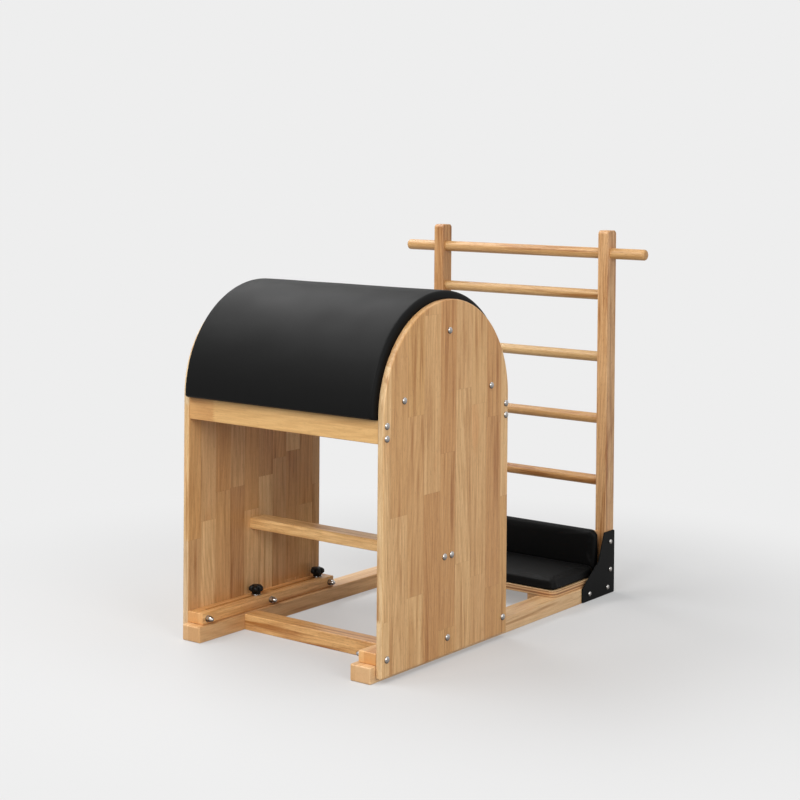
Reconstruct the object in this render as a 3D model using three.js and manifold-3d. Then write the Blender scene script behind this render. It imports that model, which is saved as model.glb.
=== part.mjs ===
// Ladder barrel: a padded half barrel that slides on a wooden base in front of a ladder.
// Millimetres, +Z up, +X across to the right, -Y to the front, +Y to the ladder.
// The origin lies on the floor, under the middle of the whole object.
import * as THREE from 'three';
import { mergeVertices } from 'three/addons/utils/BufferGeometryUtils.js';
import Module from 'manifold-3d';

const wasm = await Module();
wasm.setup();

// Clearances and small treatments
const seatGap = 0.3;
const boltClearance = 0.4;
const overrun = 2;
const edgeEase = 1.5;
const beamEndEase = 4;

// Base
const baseLength = 1087;
const baseWidth = 590;
const beamWidth = 58;
const beamHeight = 39;
const crossbeamDepth = 50;
const frontCrossbeamInset = 165;

// Ladder
const ladderHeight = 1000;
const uprightWidth = 33;
const uprightDepth = 45;
const uprightEase = 2.5;
const uprightTopRounding = 10;
const rungDiameter = 28;
const rungSocketDepth = 16;
const lowestRungHeight = 308.5;
const lowerRungCount = 4;
const topRungDiameter = 30;
const topRungDrop = 63.5;
const topRungSpacing = 115;
const topRungOverhang = 107;
const topRungRounding = 8;

// Steel corner plates of the ladder
const plateThickness = 3;
const plateLength = 168;
const plateHeight = 173;
const plateTopWidth = 54;
const plateKneeReach = 84;
const plateKneeHeight = 97;
const plateFrontHeight = 39;
const plateFloorGap = 1;
const plateCornerRounding = 5;
const plateBoltRadius = 3;
const plateHeadRadius = 6.5;
const plateHeadHeight = 4;
const plateBoltDepth = 28;
const plateUpperBoltHeight = 143;
const plateMiddleBoltHeight = 67;
const plateLowBoltHeight = 20;
const plateFrontBoltReach = 131;
const plateRearBoltReach = 36;

// Foot rest
const boardThickness = 17;
const boardInset = 7.5;
const boardDepth = 251;
const boardCornerRadius = 20;
const battenWidth = 35;
const battenHeight = 25;
const battenFrontInset = 6;
const battenRearInset = 30;
const seatPadThickness = 31;
const seatPadInset = 2;
const backBoardThickness = 9;
const backBoardInset = 6;
const backPadThickness = 20;
const backPadHeight = 123.5;
const backPadInset = 17;
const seatPadRounding = 22;
const backPadRounding = 14;
const cushionLeastRadius = 3;

// Barrel frame
const panelThickness = 18;
const panelEase = 3;
const panelBeamGap = 1;
const panelDepth = 508;
const panelSetback = 20;
const panelFloorGap = 12;
const archCentreHeight = 607;
const apronHeight = 55;
const apronThickness = 20;
const apronTop = 600;
const apronSetback = 2;
const stretcherDepth = 54;
const stretcherThickness = 28;
const stretcherCentreHeight = 249;
const formerThickness = 18;
const formerDepth = 84;
const shellThickness = 7;
const shellInset = 20;

// Barrel pad, against the round edge of the side panels
const padEdgeRise = 1;
const padCrownRise = 20;
const padSideRounding = 18;
const padHemRounding = 10;

// Slotted cleats and their star knobs
const cleatWidth = 50;
const cleatHeight = 28;
const cleatEndInset = 1;
const slotWidth = 10;
const slotFrontInset = 36;
const slotRearInset = 34;
const slotSpacing = 50;
const knobStudRadius = 4;
const knobWasherRadius = 13;
const knobWasherThickness = 2;
const knobHubHeight = 12;
const knobHubFootRadius = 11.5;
const knobHubTopRadius = 13;
const knobHeadHeight = 12;
const knobHeadRadius = 17;
const knobLobeRise = 2.6;
const knobLobeCount = 5;
const knobHeadBevel = 1.6;
const knobStudGrip = 30;

// Frame bolts with domed heads
const boltRadius = 4;
const boltHeadRadius = 8.2;
const boltHeadHeight = 4.6;
const boltHeadRim = 1.2;
const boltGrip = 45;
const boltPairSpacing = 29;
const formerBoltInset = 74;
const formerSideBoltRise = 31;
const cleatBoltEndInset = 18;
const nutAcrossFlats = 14;
const nutHeight = 9;
const nutDomeHeight = 12;
const nutWasherRadius = 9;
const nutWasherThickness = 2;

// Facet counts
const archSteps = 40;
const padArchSteps = 24;
const holeSteps = 10;
const knobSteps = 12;
const rungSteps = 18;
const domeSteps = 2;
const lobeSteps = 6;
const cornerSteps = 5;
const plateCornerSteps = 3;
const beamEndSteps = 3;
const gripSteps = 3;
const padAcrossSteps = 4;

// Sizes that follow from the driving dimensions
const beamOuter = baseWidth / 2;
const beamInner = beamOuter - beamWidth;
const uprightInner = beamOuter - uprightWidth;
const uprightFront = baseLength - uprightDepth;
const uprightMiddle = baseLength - uprightDepth / 2;
const topRungHeight = ladderHeight - topRungDrop;
const rungPitch = (topRungHeight - topRungSpacing - lowestRungHeight) / (lowerRungCount - 1);
const boardWidth = baseWidth - 2 * boardInset;
const boardFront = uprightFront - seatGap - boardDepth;
const panelInner = beamOuter + panelBeamGap;
const panelOuter = panelInner + panelThickness;
const panelMiddle = panelDepth / 2;
const shellInnerRadius = panelMiddle - shellInset;
const formerInnerRadius = shellInnerRadius - formerDepth;
const formerBoltRadius = panelMiddle - formerBoltInset;
const padEdgeRadius = panelMiddle + padEdgeRise;
const padCrownRadius = panelMiddle + padCrownRise;
const cleatInner = panelInner - cleatWidth;
const cleatBottom = beamHeight + seatGap;
const cleatTop = cleatBottom + cleatHeight;
const cleatMiddleHeight = cleatBottom + cleatHeight / 2;
const boardTop = beamHeight + seatGap + boardThickness;
const backPadWidth = baseWidth - 2 * backPadInset;
const slotLength = (panelDepth - slotFrontInset - slotRearInset - slotSpacing) / 2;
const slotPitch = slotLength + slotSpacing;
const firstKnobPlace = slotFrontInset + slotLength - slotWidth / 2;

const wood = { color: 0xc8965f, roughness: 0.5, metalness: 0 };
const paleWood = { color: 0xd9ac6f, roughness: 0.5, metalness: 0 };
const leather = { color: 0x1b1b1c, roughness: 0.45, metalness: 0 };
const blackPlate = { color: 0x1a1b1d, roughness: 0.55, metalness: 0.3 };
const steel = { color: 0xc9c6c0, roughness: 0.25, metalness: 1 };
const blackPlastic = { color: 0x0f0f10, roughness: 0.5, metalness: 0 };

// Turns a geometry into a manifold solid, without the folded triangles at a lathe's poles.
function solidOf(geometry) {
  const bare = geometry.clone();
  bare.deleteAttribute('normal');
  bare.deleteAttribute('uv');
  const merged = mergeVertices(bare);
  const corners = merged.index.array;
  const kept = [];
  for (let i = 0; i < corners.length; i += 3) {
    const [a, b, c] = [corners[i], corners[i + 1], corners[i + 2]];
    if (a !== b && b !== c && c !== a) kept.push(a, b, c);
  }
  const vertProperties = new Float32Array(merged.attributes.position.array);
  const triVerts = new Uint32Array(kept);
  return new wasm.Manifold(new wasm.Mesh({ numProp: 3, vertProperties, triVerts }));
}

function geometryOf(solid) {
  const mesh = solid.getMesh();
  const geometry = new THREE.BufferGeometry();
  geometry.setAttribute('position', new THREE.BufferAttribute(mesh.vertProperties, 3));
  geometry.setIndex(new THREE.BufferAttribute(mesh.triVerts, 1));
  geometry.computeVertexNormals();
  return geometry;
}

function cut(geometry, cutters) {
  let solid = solidOf(geometry);
  for (const cutter of cutters) solid = solid.subtract(solidOf(cutter));
  return geometryOf(solid);
}

function join(geometries) {
  let solid = solidOf(geometries[0]);
  for (const geometry of geometries.slice(1)) solid = solid.add(solidOf(geometry));
  return geometryOf(solid);
}

// A named mesh with a material of its own.
function piece(name, geometry, look) {
  const mesh = new THREE.Mesh(geometry, new THREE.MeshStandardMaterial(look));
  mesh.name = name;
  return mesh;
}

function circlePoints(x, y, radius, steps) {
  const points = [];
  for (let i = 0; i < steps; i++) {
    const angle = (2 * Math.PI * i) / steps;
    points.push(new THREE.Vector2(x + radius * Math.cos(angle), y + radius * Math.sin(angle)));
  }
  return points;
}

function arcPoints(x, y, radius, from, to, steps) {
  const points = [];
  for (let i = 0; i <= steps; i++) {
    const angle = from + ((to - from) * i) / steps;
    points.push(new THREE.Vector2(x + radius * Math.cos(angle), y + radius * Math.sin(angle)));
  }
  return points;
}

// A box with eased edges between two corners.
function board(xs, ys, zs, ease = edgeEase) {
  const width = xs[1] - xs[0];
  const depth = ys[1] - ys[0];
  const shape = new THREE.Shape([
    new THREE.Vector2(ease, ease),
    new THREE.Vector2(width - ease, ease),
    new THREE.Vector2(width - ease, depth - ease),
    new THREE.Vector2(ease, depth - ease),
  ]);
  const height = zs[1] - zs[0];
  const geometry = new THREE.ExtrudeGeometry(shape, {
    depth: height - 2 * ease,
    bevelThickness: ease,
    bevelSize: ease,
    bevelSegments: 1,
  });
  return geometry.translate(xs[0], ys[0], zs[0] + ease);
}

// Extrudes an outline drawn in Y and Z along X, from x up by the given thickness.
function plateAlongX(outline, holes, x, thickness, ease) {
  const shape = new THREE.Shape(outline);
  shape.holes = holes.map((points) => new THREE.Path(points));
  const geometry = new THREE.ExtrudeGeometry(shape, {
    depth: thickness - 2 * ease,
    bevelEnabled: ease > 0,
    bevelThickness: ease,
    bevelSize: ease,
    bevelOffset: -ease,
    bevelSegments: 1,
  });
  const toYZX = new THREE.Matrix4().makeBasis(
    new THREE.Vector3(0, 1, 0),
    new THREE.Vector3(0, 0, 1),
    new THREE.Vector3(1, 0, 0),
  );
  return geometry.applyMatrix4(toYZX).translate(x + ease, 0, 0);
}

// A round bar between two X values.
function barAlongX(from, to, y, z, radius, steps = holeSteps) {
  const bar = new THREE.CylinderGeometry(radius, radius, to - from, steps);
  return bar.rotateZ(Math.PI / 2).translate((from + to) / 2, y, z);
}

function barAlongZ(from, to, x, y, radius, steps = holeSteps) {
  const bar = new THREE.CylinderGeometry(radius, radius, to - from, steps);
  return bar.rotateX(Math.PI / 2).translate(x, y, (from + to) / 2);
}

// Spins a profile of radius and height about an axis that points along X.
function spunAlongX(profile, steps) {
  const toXZY = new THREE.Matrix4().makeBasis(
    new THREE.Vector3(0, 0, 1),
    new THREE.Vector3(1, 0, 0),
    new THREE.Vector3(0, 1, 0),
  );
  const points = profile.map(([radius, height]) => new THREE.Vector2(radius, height));
  return new THREE.LatheGeometry(points, steps).applyMatrix4(toXZY);
}

// Domed head on a shank: the head's underside is at zero, the shank runs to minus its length.
function domedBolt(shankRadius, length, headRadius, headHeight, headRim) {
  const dome = [];
  for (let i = 0; i <= domeSteps; i++) {
    const angle = (Math.PI / 2) * (i / domeSteps);
    dome.push([headRadius * Math.cos(angle), headRim + (headHeight - headRim) * Math.sin(angle)]);
  }
  dome[domeSteps][0] = 0;
  const shank = [[0, -length], [shankRadius, -length], [shankRadius, 0], [headRadius, 0]];
  return spunAlongX([...shank, ...dome], holeSteps);
}

// Washer and acorn nut on the inner end of a bolt, from zero towards minus X.
function acornNut() {
  const nutRadius = nutAcrossFlats / Math.sqrt(3);
  const domeRadius = nutAcrossFlats / 2 - edgeEase / 2;
  const nutFoot = -nutWasherThickness;
  const nutFace = nutFoot - nutHeight;
  const washer = barAlongX(nutFoot, 0, 0, 0, nutWasherRadius);
  const hexagon = barAlongX(nutFace, nutFoot + edgeEase / 2, 0, 0, nutRadius, 6);
  const profile = [[0, nutFace - nutDomeHeight]];
  for (let i = 1; i <= domeSteps; i++) {
    const angle = (Math.PI / 2) * (i / domeSteps);
    profile.push([domeRadius * Math.sin(angle), nutFace - nutDomeHeight * Math.cos(angle)]);
  }
  profile.push([domeRadius, nutFace + edgeEase], [0, nutFace + edgeEase]);
  return join([washer, hexagon, spunAlongX(profile, holeSteps)]);
}

// Places of the bolts on a side panel, as Y from the panel's front and Z from the floor.
const apronMiddleHeight = apronTop - apronHeight / 2;
const apronBoltHeights = [1, -1].map((side) => apronMiddleHeight + (side * boltPairSpacing) / 2);
const apronMiddles = [apronSetback + apronThickness / 2, panelDepth - apronSetback - apronThickness / 2];
const apronBolts = apronMiddles.flatMap((y) => apronBoltHeights.map((z) => [y, z]));
const stretcherBolts = [
  [panelMiddle - boltPairSpacing / 2, stretcherCentreHeight],
  [panelMiddle + boltPairSpacing / 2, stretcherCentreHeight],
];
const formerSideReach = Math.sqrt(formerBoltRadius ** 2 - formerSideBoltRise ** 2);
const formerBolts = [
  [panelMiddle - formerSideReach, archCentreHeight + formerSideBoltRise],
  [panelMiddle, archCentreHeight + formerBoltRadius],
  [panelMiddle + formerSideReach, archCentreHeight + formerSideBoltRise],
];
const cleatBolts = [
  [cleatBoltEndInset, cleatMiddleHeight],
  [panelMiddle, cleatMiddleHeight],
  [panelDepth - cleatBoltEndInset, cleatMiddleHeight],
];

// Arch-topped side panel, drilled for its twelve bolts.
function sidePanel(side) {
  const outline = [
    new THREE.Vector2(0, panelFloorGap),
    new THREE.Vector2(panelDepth, panelFloorGap),
    ...arcPoints(panelMiddle, archCentreHeight, panelMiddle, 0, Math.PI, archSteps),
  ];
  const x = side > 0 ? panelInner : -panelOuter;
  const panel = plateAlongX(outline, [], x, panelThickness, panelEase);
  const places = [...apronBolts, ...stretcherBolts, ...formerBolts, ...cleatBolts];
  const [from, to] = [x - overrun, x + panelThickness + overrun];
  return cut(panel, places.map(([y, z]) => barAlongX(from, to, y, z, boltRadius + boltClearance)));
}

// Cross rail between the panels with blind holes in its ends.
function crossRail(ys, zs, bolts) {
  const end = panelInner - seatGap;
  const depth = boltGrip - panelThickness + overrun;
  const cutters = [];
  for (const [y, z] of bolts) {
    cutters.push(barAlongX(end - depth, end + overrun, y, z, boltRadius + boltClearance));
    cutters.push(barAlongX(-end - overrun, -end + depth, y, z, boltRadius + boltClearance));
  }
  return cut(board([-end, end], ys, zs), cutters);
}

function apron(middle) {
  const bolts = apronBolts.filter(([y]) => y === middle);
  const ys = [middle - apronThickness / 2, middle + apronThickness / 2];
  return crossRail(ys, [apronTop - apronHeight, apronTop], bolts);
}

function stretcher() {
  const ys = [panelMiddle - stretcherDepth / 2, panelMiddle + stretcherDepth / 2];
  const zs = [stretcherCentreHeight - stretcherThickness / 2, stretcherCentreHeight + stretcherThickness / 2];
  return crossRail(ys, zs, stretcherBolts);
}

// Outline of a bent board: a half ring whose legs run straight down to the given height.
function bentOutline(innerRadius, outerRadius, foot) {
  return [
    new THREE.Vector2(panelMiddle + outerRadius, foot),
    ...arcPoints(panelMiddle, archCentreHeight, outerRadius, 0, Math.PI, archSteps),
    new THREE.Vector2(panelMiddle - outerRadius, foot),
    new THREE.Vector2(panelMiddle - innerRadius, foot),
    ...arcPoints(panelMiddle, archCentreHeight, innerRadius, Math.PI, 0, archSteps),
    new THREE.Vector2(panelMiddle + innerRadius, foot),
  ];
}

// Plywood arch that the shell is bent over.
function former(x, bolts) {
  const outline = bentOutline(formerInnerRadius, shellInnerRadius - seatGap, apronTop + seatGap);
  const holes = bolts.map(([y, z]) => circlePoints(y, z, boltRadius + boltClearance, holeSteps));
  return plateAlongX(outline, holes, x, formerThickness, 0);
}

function barrelShell() {
  const outline = bentOutline(shellInnerRadius, shellInnerRadius + shellThickness, apronTop + seatGap);
  const end = panelInner - seatGap;
  return plateAlongX(outline, [], -end, 2 * end, 0);
}

// Quarter-round rise from 0 at an edge to 1 at the given distance and beyond.
function rise(distance, rounding) {
  const left = 1 - Math.min(distance / rounding, 1);
  return Math.sqrt(1 - left * left);
}

// Closed skin over a grid of outer points and the same grid of inner points.
function skinOf(outer, inner) {
  const rows = outer.length;
  const columns = outer[0].length;
  const positions = [...outer, ...inner].flat().flatMap((point) => [point.x, point.y, point.z]);
  const at = (layer, row, column) => (layer * rows + row) * columns + column;
  const triangles = [];
  const quad = (a, b, c, d) => triangles.push(a, b, c, a, c, d);
  for (let r = 0; r + 1 < rows; r++) {
    for (let c = 0; c + 1 < columns; c++) {
      quad(at(0, r, c), at(0, r, c + 1), at(0, r + 1, c + 1), at(0, r + 1, c));
      quad(at(1, r, c), at(1, r + 1, c), at(1, r + 1, c + 1), at(1, r, c + 1));
    }
    quad(at(0, r, 0), at(0, r + 1, 0), at(1, r + 1, 0), at(1, r, 0));
    quad(at(0, r, columns - 1), at(1, r, columns - 1), at(1, r + 1, columns - 1), at(0, r + 1, columns - 1));
  }
  for (let c = 0; c + 1 < columns; c++) {
    quad(at(0, 0, c), at(1, 0, c), at(1, 0, c + 1), at(0, 0, c + 1));
    quad(at(0, rows - 1, c), at(0, rows - 1, c + 1), at(1, rows - 1, c + 1), at(1, rows - 1, c));
  }
  const geometry = new THREE.BufferGeometry();
  geometry.setAttribute('position', new THREE.Float32BufferAttribute(positions, 3));
  geometry.setIndex(triangles);
  geometry.computeVertexNormals();
  return geometry;
}

// Distances from an edge, close together over the rounding and even over the rest.
function edgeStations(length, rounding, middleSteps) {
  const roundShares = [0, 0.05, 0.16, 0.34, 0.62];
  const near = roundShares.map((share) => share * rounding);
  const stations = [...near];
  for (let i = 0; i <= middleSteps; i++) {
    stations.push(rounding + ((length - 2 * rounding) * i) / middleSteps);
  }
  return [...stations, ...near.reverse().map((distance) => length - distance)];
}

// Upholstered arch over the shell: crowned along its width and rounded at its sides and hems.
function barrelPad() {
  const width = 2 * (panelInner - seatGap);
  const foot = apronTop + seatGap;
  const leg = archCentreHeight - foot;
  const arch = Math.PI * padCrownRadius;
  const length = arch + 2 * leg;
  const place = (x, along, radius) => {
    const turned = THREE.MathUtils.clamp(along - leg, 0, arch);
    const angle = Math.PI * (1 - turned / arch);
    const drop = Math.max(leg - along, along - leg - arch, 0);
    const y = panelMiddle + radius * Math.cos(angle);
    return new THREE.Vector3(x, y, archCentreHeight + radius * Math.sin(angle) - drop);
  };
  // The flat facets between two rows stay clear of the shell's round.
  const innerRadius = (shellInnerRadius + shellThickness + seatGap) / Math.cos(Math.PI / (2 * padArchSteps));
  const outer = [];
  const inner = [];
  for (const along of edgeStations(length, padHemRounding, padArchSteps)) {
    const hem = rise(Math.min(along, length - along), padHemRounding);
    const outerRow = [];
    const innerRow = [];
    for (const across of edgeStations(width, padSideRounding, padAcrossSteps)) {
      const swell = hem * rise(Math.min(across, width - across), padSideRounding);
      const x = across - width / 2;
      outerRow.push(place(x, along, padEdgeRadius + (padCrownRadius - padEdgeRadius) * swell));
      innerRow.push(place(x, along, innerRadius));
    }
    outer.push(outerRow);
    inner.push(innerRow);
  }
  return skinOf(outer, inner);
}

// Board on the beam that carries the barrel, with two long slots and three cross holes.
function cleat(side) {
  const inner = side > 0 ? cleatInner : -panelInner + seatGap;
  const outer = side > 0 ? panelInner - seatGap : -cleatInner;
  const body = board([inner, outer], [cleatEndInset, panelDepth - cleatEndInset], [cleatBottom, cleatTop]);
  const middle = (side * (cleatInner + panelInner)) / 2;
  const cutters = [];
  for (const front of [slotFrontInset, slotFrontInset + slotPitch]) {
    const radius = slotWidth / 2;
    const outline = [
      ...arcPoints(middle, front + slotLength - radius, radius, 0, Math.PI, holeSteps / 2),
      ...arcPoints(middle, front + radius, radius, Math.PI, 2 * Math.PI, holeSteps / 2),
    ];
    const slot = new THREE.ExtrudeGeometry(new THREE.Shape(outline), {
      depth: cleatHeight + 2 * overrun,
      bevelEnabled: false,
    });
    cutters.push(slot.translate(0, 0, cleatBottom - overrun));
  }
  for (const [y, z] of cleatBolts) {
    cutters.push(barAlongX(inner - overrun, outer + overrun, y, z, boltRadius + boltClearance));
  }
  return cut(body, cutters);
}

// Bolt into the end of a cross rail.
function railBolt() {
  return domedBolt(boltRadius, boltGrip - seatGap, boltHeadRadius, boltHeadHeight, boltHeadRim);
}

// Bolt through the panel and a second board, closed by an acorn nut.
function throughBolt(boardThrough) {
  const stack = panelThickness + boardThrough + 2 * seatGap;
  const bolt = domedBolt(boltRadius, stack + nutWasherThickness, boltHeadRadius, boltHeadHeight, boltHeadRim);
  return join([bolt, acornNut().translate(-stack - seatGap, 0, 0)]);
}

// Star knob on its stud, with the washer under its hub; its foot rests on the cleat's top.
function starKnob() {
  const outline = [];
  const steps = knobLobeCount * lobeSteps;
  for (let i = 0; i < steps; i++) {
    const angle = (2 * Math.PI * i) / steps;
    const radius = knobHeadRadius + knobLobeRise * Math.cos(knobLobeCount * angle);
    outline.push(new THREE.Vector2(radius * Math.cos(angle), radius * Math.sin(angle)));
  }
  const head = new THREE.ExtrudeGeometry(new THREE.Shape(outline), {
    depth: knobHeadHeight - 2 * knobHeadBevel,
    bevelThickness: knobHeadBevel,
    bevelSize: knobHeadBevel,
    bevelOffset: -knobHeadBevel,
    bevelSegments: 1,
  });
  const headFoot = knobWasherThickness + knobHubHeight;
  head.translate(0, 0, headFoot + knobHeadBevel);
  const profile = [
    [0, -cleatHeight - 2 * seatGap - knobStudGrip],
    [knobStudRadius, -cleatHeight - 2 * seatGap - knobStudGrip],
    [knobStudRadius, 0],
    [knobWasherRadius, 0],
    [knobWasherRadius, knobWasherThickness],
    [knobHubFootRadius, knobWasherThickness],
    [knobHubTopRadius, headFoot + knobHeadBevel],
    [0, headFoot + knobHeadBevel],
  ].map(([radius, height]) => new THREE.Vector2(radius, height));
  const hub = new THREE.LatheGeometry(profile, knobSteps).rotateX(Math.PI / 2);
  return join([head, hub]);
}

// The sliding barrel, with Y measured from its front edge.
function barrelUnit() {
  const unit = new THREE.Group();
  unit.add(piece('right_panel', sidePanel(1), wood), piece('left_panel', sidePanel(-1), wood));
  unit.add(piece('front_apron', apron(apronMiddles[0]), paleWood));
  unit.add(piece('rear_apron', apron(apronMiddles[1]), paleWood));
  unit.add(piece('mid_stretcher', stretcher(), paleWood));
  const formerOuter = panelInner - seatGap;
  unit.add(piece('right_former', former(formerOuter - formerThickness, formerBolts), wood));
  unit.add(piece('left_former', former(-formerOuter, formerBolts), wood));
  unit.add(piece('middle_former', former(-formerThickness / 2, []), wood));
  unit.add(piece('barrel_shell', barrelShell(), wood));
  unit.add(piece('barrel_pad', barrelPad(), leather));
  unit.add(piece('right_cleat', cleat(1), paleWood), piece('left_cleat', cleat(-1), paleWood));
  const sets = [
    ['apron_bolt', apronBolts, railBolt],
    ['stretcher_bolt', stretcherBolts, railBolt],
    ['former_bolt', formerBolts, () => throughBolt(formerThickness)],
    ['cleat_bolt', cleatBolts, () => throughBolt(cleatWidth - seatGap)],
  ];
  for (const [kind, places, make] of sets) {
    places.forEach(([y, z], index) => {
      for (const [word, side] of [['right', 1], ['left', -1]]) {
        const bolt = piece(`${word}_${kind}_${index + 1}`, make(), steel);
        bolt.position.set(side * (panelOuter + seatGap), y, z);
        bolt.rotation.z = side > 0 ? 0 : Math.PI;
        unit.add(bolt);
      }
    });
  }
  return unit;
}

// Places of the plate bolts, as reach forward from the base's rear end and height.
const plateBolts = [
  [uprightDepth / 2, plateUpperBoltHeight],
  [uprightDepth / 2, plateMiddleBoltHeight],
  [plateRearBoltReach, plateLowBoltHeight],
  [plateFrontBoltReach, plateLowBoltHeight],
];

function plateHoles(side, low, high) {
  const face = side * beamOuter;
  const depth = plateBoltDepth + overrun;
  const from = Math.min(face + side * overrun, face - side * depth);
  const to = Math.max(face + side * overrun, face - side * depth);
  const radius = plateBoltRadius + boltClearance;
  const inside = plateBolts.filter(([, z]) => z > low && z < high);
  return inside.map(([reach, z]) => barAlongX(from, to, baseLength - reach, z, radius));
}

// Bar along Y from zero to the given length, with eased edges and more rounded ends.
function barAlongY(xs, length, height) {
  const points = [];
  for (let i = 0; i <= beamEndSteps; i++) {
    const angle = (Math.PI / 2) * (i / beamEndSteps);
    const inset = beamEndEase * (1 - Math.sin(angle));
    const reach = beamEndEase * (1 - Math.cos(angle));
    for (const y of [reach, length - reach]) {
      for (const [x, inwards] of [[xs[0] + inset, 1], [xs[1] - inset, -1]]) {
        for (const [z, up] of [[inset, 1], [height - inset, -1]]) {
          points.push([x + inwards * edgeEase, y, z], [x, y, z + up * edgeEase]);
        }
      }
    }
  }
  return geometryOf(wasm.Manifold.hull(points));
}

// Floor beam with a hole for each knob's stud and for the plate bolts.
function beam(side) {
  const xs = side > 0 ? [beamInner, beamOuter] : [-beamOuter, -beamInner];
  const body = barAlongY(xs, baseLength, beamHeight);
  const middle = (side * (cleatInner + panelInner)) / 2;
  const cutters = [firstKnobPlace, firstKnobPlace + slotPitch].map((place) => barAlongZ(
    beamHeight - knobStudGrip - overrun,
    beamHeight + overrun,
    middle,
    panelSetback + place,
    knobStudRadius + boltClearance,
  ));
  return cut(body, [...cutters, ...plateHoles(side, 0, beamHeight)]);
}

function crossbeam(front) {
  const end = beamInner - seatGap;
  return board([-end, end], [front, front + crossbeamDepth], [0, beamHeight]);
}

// Round-topped upright standing on the beam's rear end, with a through hole for the top rung.
function upright(side) {
  const xs = side > 0 ? [uprightInner, beamOuter] : [-beamOuter, -uprightInner];
  const round = uprightTopRounding;
  const shoulder = ladderHeight - round;
  const outline = [
    new THREE.Vector2(uprightFront, beamHeight + seatGap),
    new THREE.Vector2(baseLength, beamHeight + seatGap),
    ...arcPoints(baseLength - round, shoulder, round, 0, Math.PI / 2, cornerSteps),
    ...arcPoints(uprightFront + round, shoulder, round, Math.PI / 2, Math.PI, cornerSteps),
  ];
  const body = plateAlongX(outline, [], xs[0], uprightWidth, uprightEase);
  const topHoleRadius = topRungDiameter / 2 + seatGap;
  const cutters = [
    barAlongX(xs[0] - overrun, xs[1] + overrun, uprightMiddle, topRungHeight, topHoleRadius, rungSteps),
    ...plateHoles(side, beamHeight, plateHeight),
  ];
  const socketFloor = side * (uprightInner + rungSocketDepth);
  const socketMouth = side * (uprightInner - overrun);
  const [from, to] = [Math.min(socketFloor, socketMouth), Math.max(socketFloor, socketMouth)];
  for (let i = 0; i < lowerRungCount; i++) {
    const height = lowestRungHeight + i * rungPitch;
    cutters.push(barAlongX(from, to, uprightMiddle, height, rungDiameter / 2 + seatGap, rungSteps));
  }
  return cut(body, cutters);
}

function lowerRung(index) {
  const end = uprightInner + rungSocketDepth - seatGap;
  const height = lowestRungHeight + index * rungPitch;
  return barAlongX(-end, end, uprightMiddle, height, rungDiameter / 2, rungSteps);
}

// The top rung runs through both uprights and ends in rounded grips.
function topRung() {
  const end = beamOuter + topRungOverhang;
  const radius = topRungDiameter / 2;
  const core = radius - topRungRounding;
  const profile = [[0, -end]];
  for (let i = 0; i <= gripSteps; i++) {
    const angle = (Math.PI / 2) * (i / gripSteps);
    profile.push([core + topRungRounding * Math.sin(angle), -end + topRungRounding * (1 - Math.cos(angle))]);
  }
  const mirrored = profile.map(([r, h]) => [r, -h]).reverse();
  return spunAlongX([...profile, ...mirrored], rungSteps).translate(0, uprightMiddle, topRungHeight);
}

// Outline with every corner rounded, from its corner points.
function softOutline(corners, radius, steps) {
  const points = [];
  corners.forEach((corner, index) => {
    const before = corners.at(index - 1).clone().sub(corner).normalize();
    const after = corners[(index + 1) % corners.length].clone().sub(corner).normalize();
    const half = Math.acos(before.dot(after)) / 2;
    const start = corner.clone().addScaledVector(before, radius / Math.tan(half));
    const middle = before.clone().add(after).setLength(radius / Math.sin(half)).add(corner);
    const turn = Math.sign(before.cross(after)) * (Math.PI - 2 * half);
    for (let i = 0; i <= steps; i++) {
      points.push(start.clone().rotateAround(middle, (-turn * i) / steps));
    }
  });
  return points;
}

// Steel gusset with its four bolts, from the beam's outer face outwards.
function cornerPlate(side) {
  const corner = (reach, height) => new THREE.Vector2(baseLength - reach, height);
  const corners = [
    corner(plateLength, plateFloorGap),
    corner(0, plateFloorGap),
    corner(0, plateHeight),
    corner(plateTopWidth, plateHeight),
    corner(plateKneeReach, plateKneeHeight),
    corner(plateLength, plateFrontHeight),
  ];
  const outline = softOutline(corners, plateCornerRounding, plateCornerSteps);
  const inner = beamOuter + seatGap;
  const x = side > 0 ? inner : -inner - plateThickness;
  const plate = plateAlongX(outline, [], x, plateThickness, 0);
  const bolts = plateBolts.map(([reach, height]) => {
    const bolt = domedBolt(plateBoltRadius, plateBoltDepth, plateHeadRadius, plateHeadHeight, edgeEase / 2);
    if (side < 0) bolt.rotateZ(Math.PI);
    return bolt.translate(side * (inner + plateThickness), baseLength - reach, height);
  });
  return join([plate, ...bolts]);
}

// Rounded rectangle outline, anticlockwise, centred on the origin.
function roundedOutline(width, depth, radius, steps) {
  const x = width / 2 - radius;
  const y = depth / 2 - radius;
  return [
    ...arcPoints(x, -y, radius, -Math.PI / 2, 0, steps),
    ...arcPoints(x, y, radius, 0, Math.PI / 2, steps),
    ...arcPoints(-x, y, radius, Math.PI / 2, Math.PI, steps),
    ...arcPoints(-x, -y, radius, Math.PI, 1.5 * Math.PI, steps),
  ];
}

// Wooden foot board with rounded front corners.
function footBoard() {
  const half = boardWidth / 2;
  const centre = half - boardCornerRadius;
  const outline = [
    ...arcPoints(-centre, boardCornerRadius, boardCornerRadius, Math.PI, 1.5 * Math.PI, cornerSteps),
    ...arcPoints(centre, boardCornerRadius, boardCornerRadius, 1.5 * Math.PI, 2 * Math.PI, cornerSteps),
    new THREE.Vector2(half, boardDepth),
    new THREE.Vector2(-half, boardDepth),
  ];
  const geometry = new THREE.ExtrudeGeometry(new THREE.Shape(outline), {
    depth: boardThickness - 2 * edgeEase,
    bevelThickness: edgeEase,
    bevelSize: edgeEase,
    bevelOffset: -edgeEase,
    bevelSegments: 1,
  });
  return geometry.translate(0, boardFront, beamHeight + seatGap + edgeEase);
}

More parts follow.
